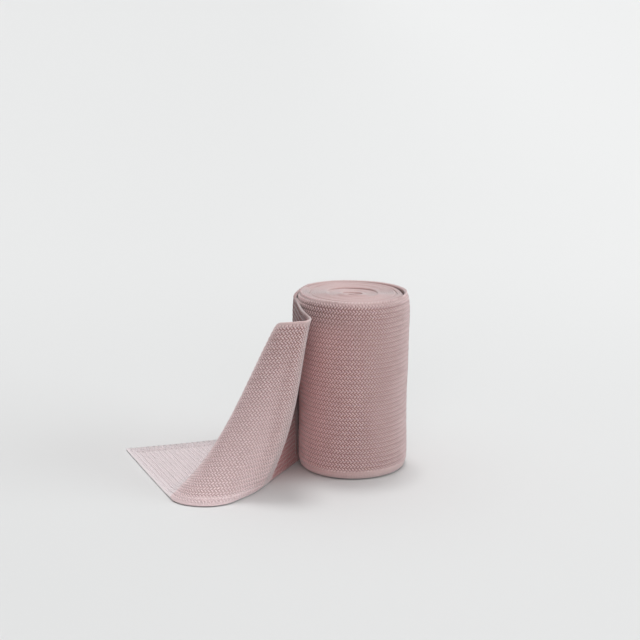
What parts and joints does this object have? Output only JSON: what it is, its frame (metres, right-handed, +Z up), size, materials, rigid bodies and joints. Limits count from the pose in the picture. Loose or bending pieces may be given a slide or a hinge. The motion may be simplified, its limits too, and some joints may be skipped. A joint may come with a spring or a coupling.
{
  "type": "elastic bandage roll",
  "caption": "Dusty pink knitted elastic bandage, wound in a roll that stands on end, its loose end folded over and lying beside it.",
  "frame": {"origin": "middle of the wound roll's flat base, on the surface that it stands on", "axes": "+Z up along the roll's axis, +X to the right and +Y to the back, seen from the side where the loose end comes off at the left"},
  "size_m": [0.1616, 0.123, 0.0997],
  "materials": {
    "knit": "matt warp knit with fine slanted stitches and plain edges"
  },
  "bodies": {
    "root": {"wound_roll": "knit", "loose_end": "knit"}
  },
  "joints": []
}
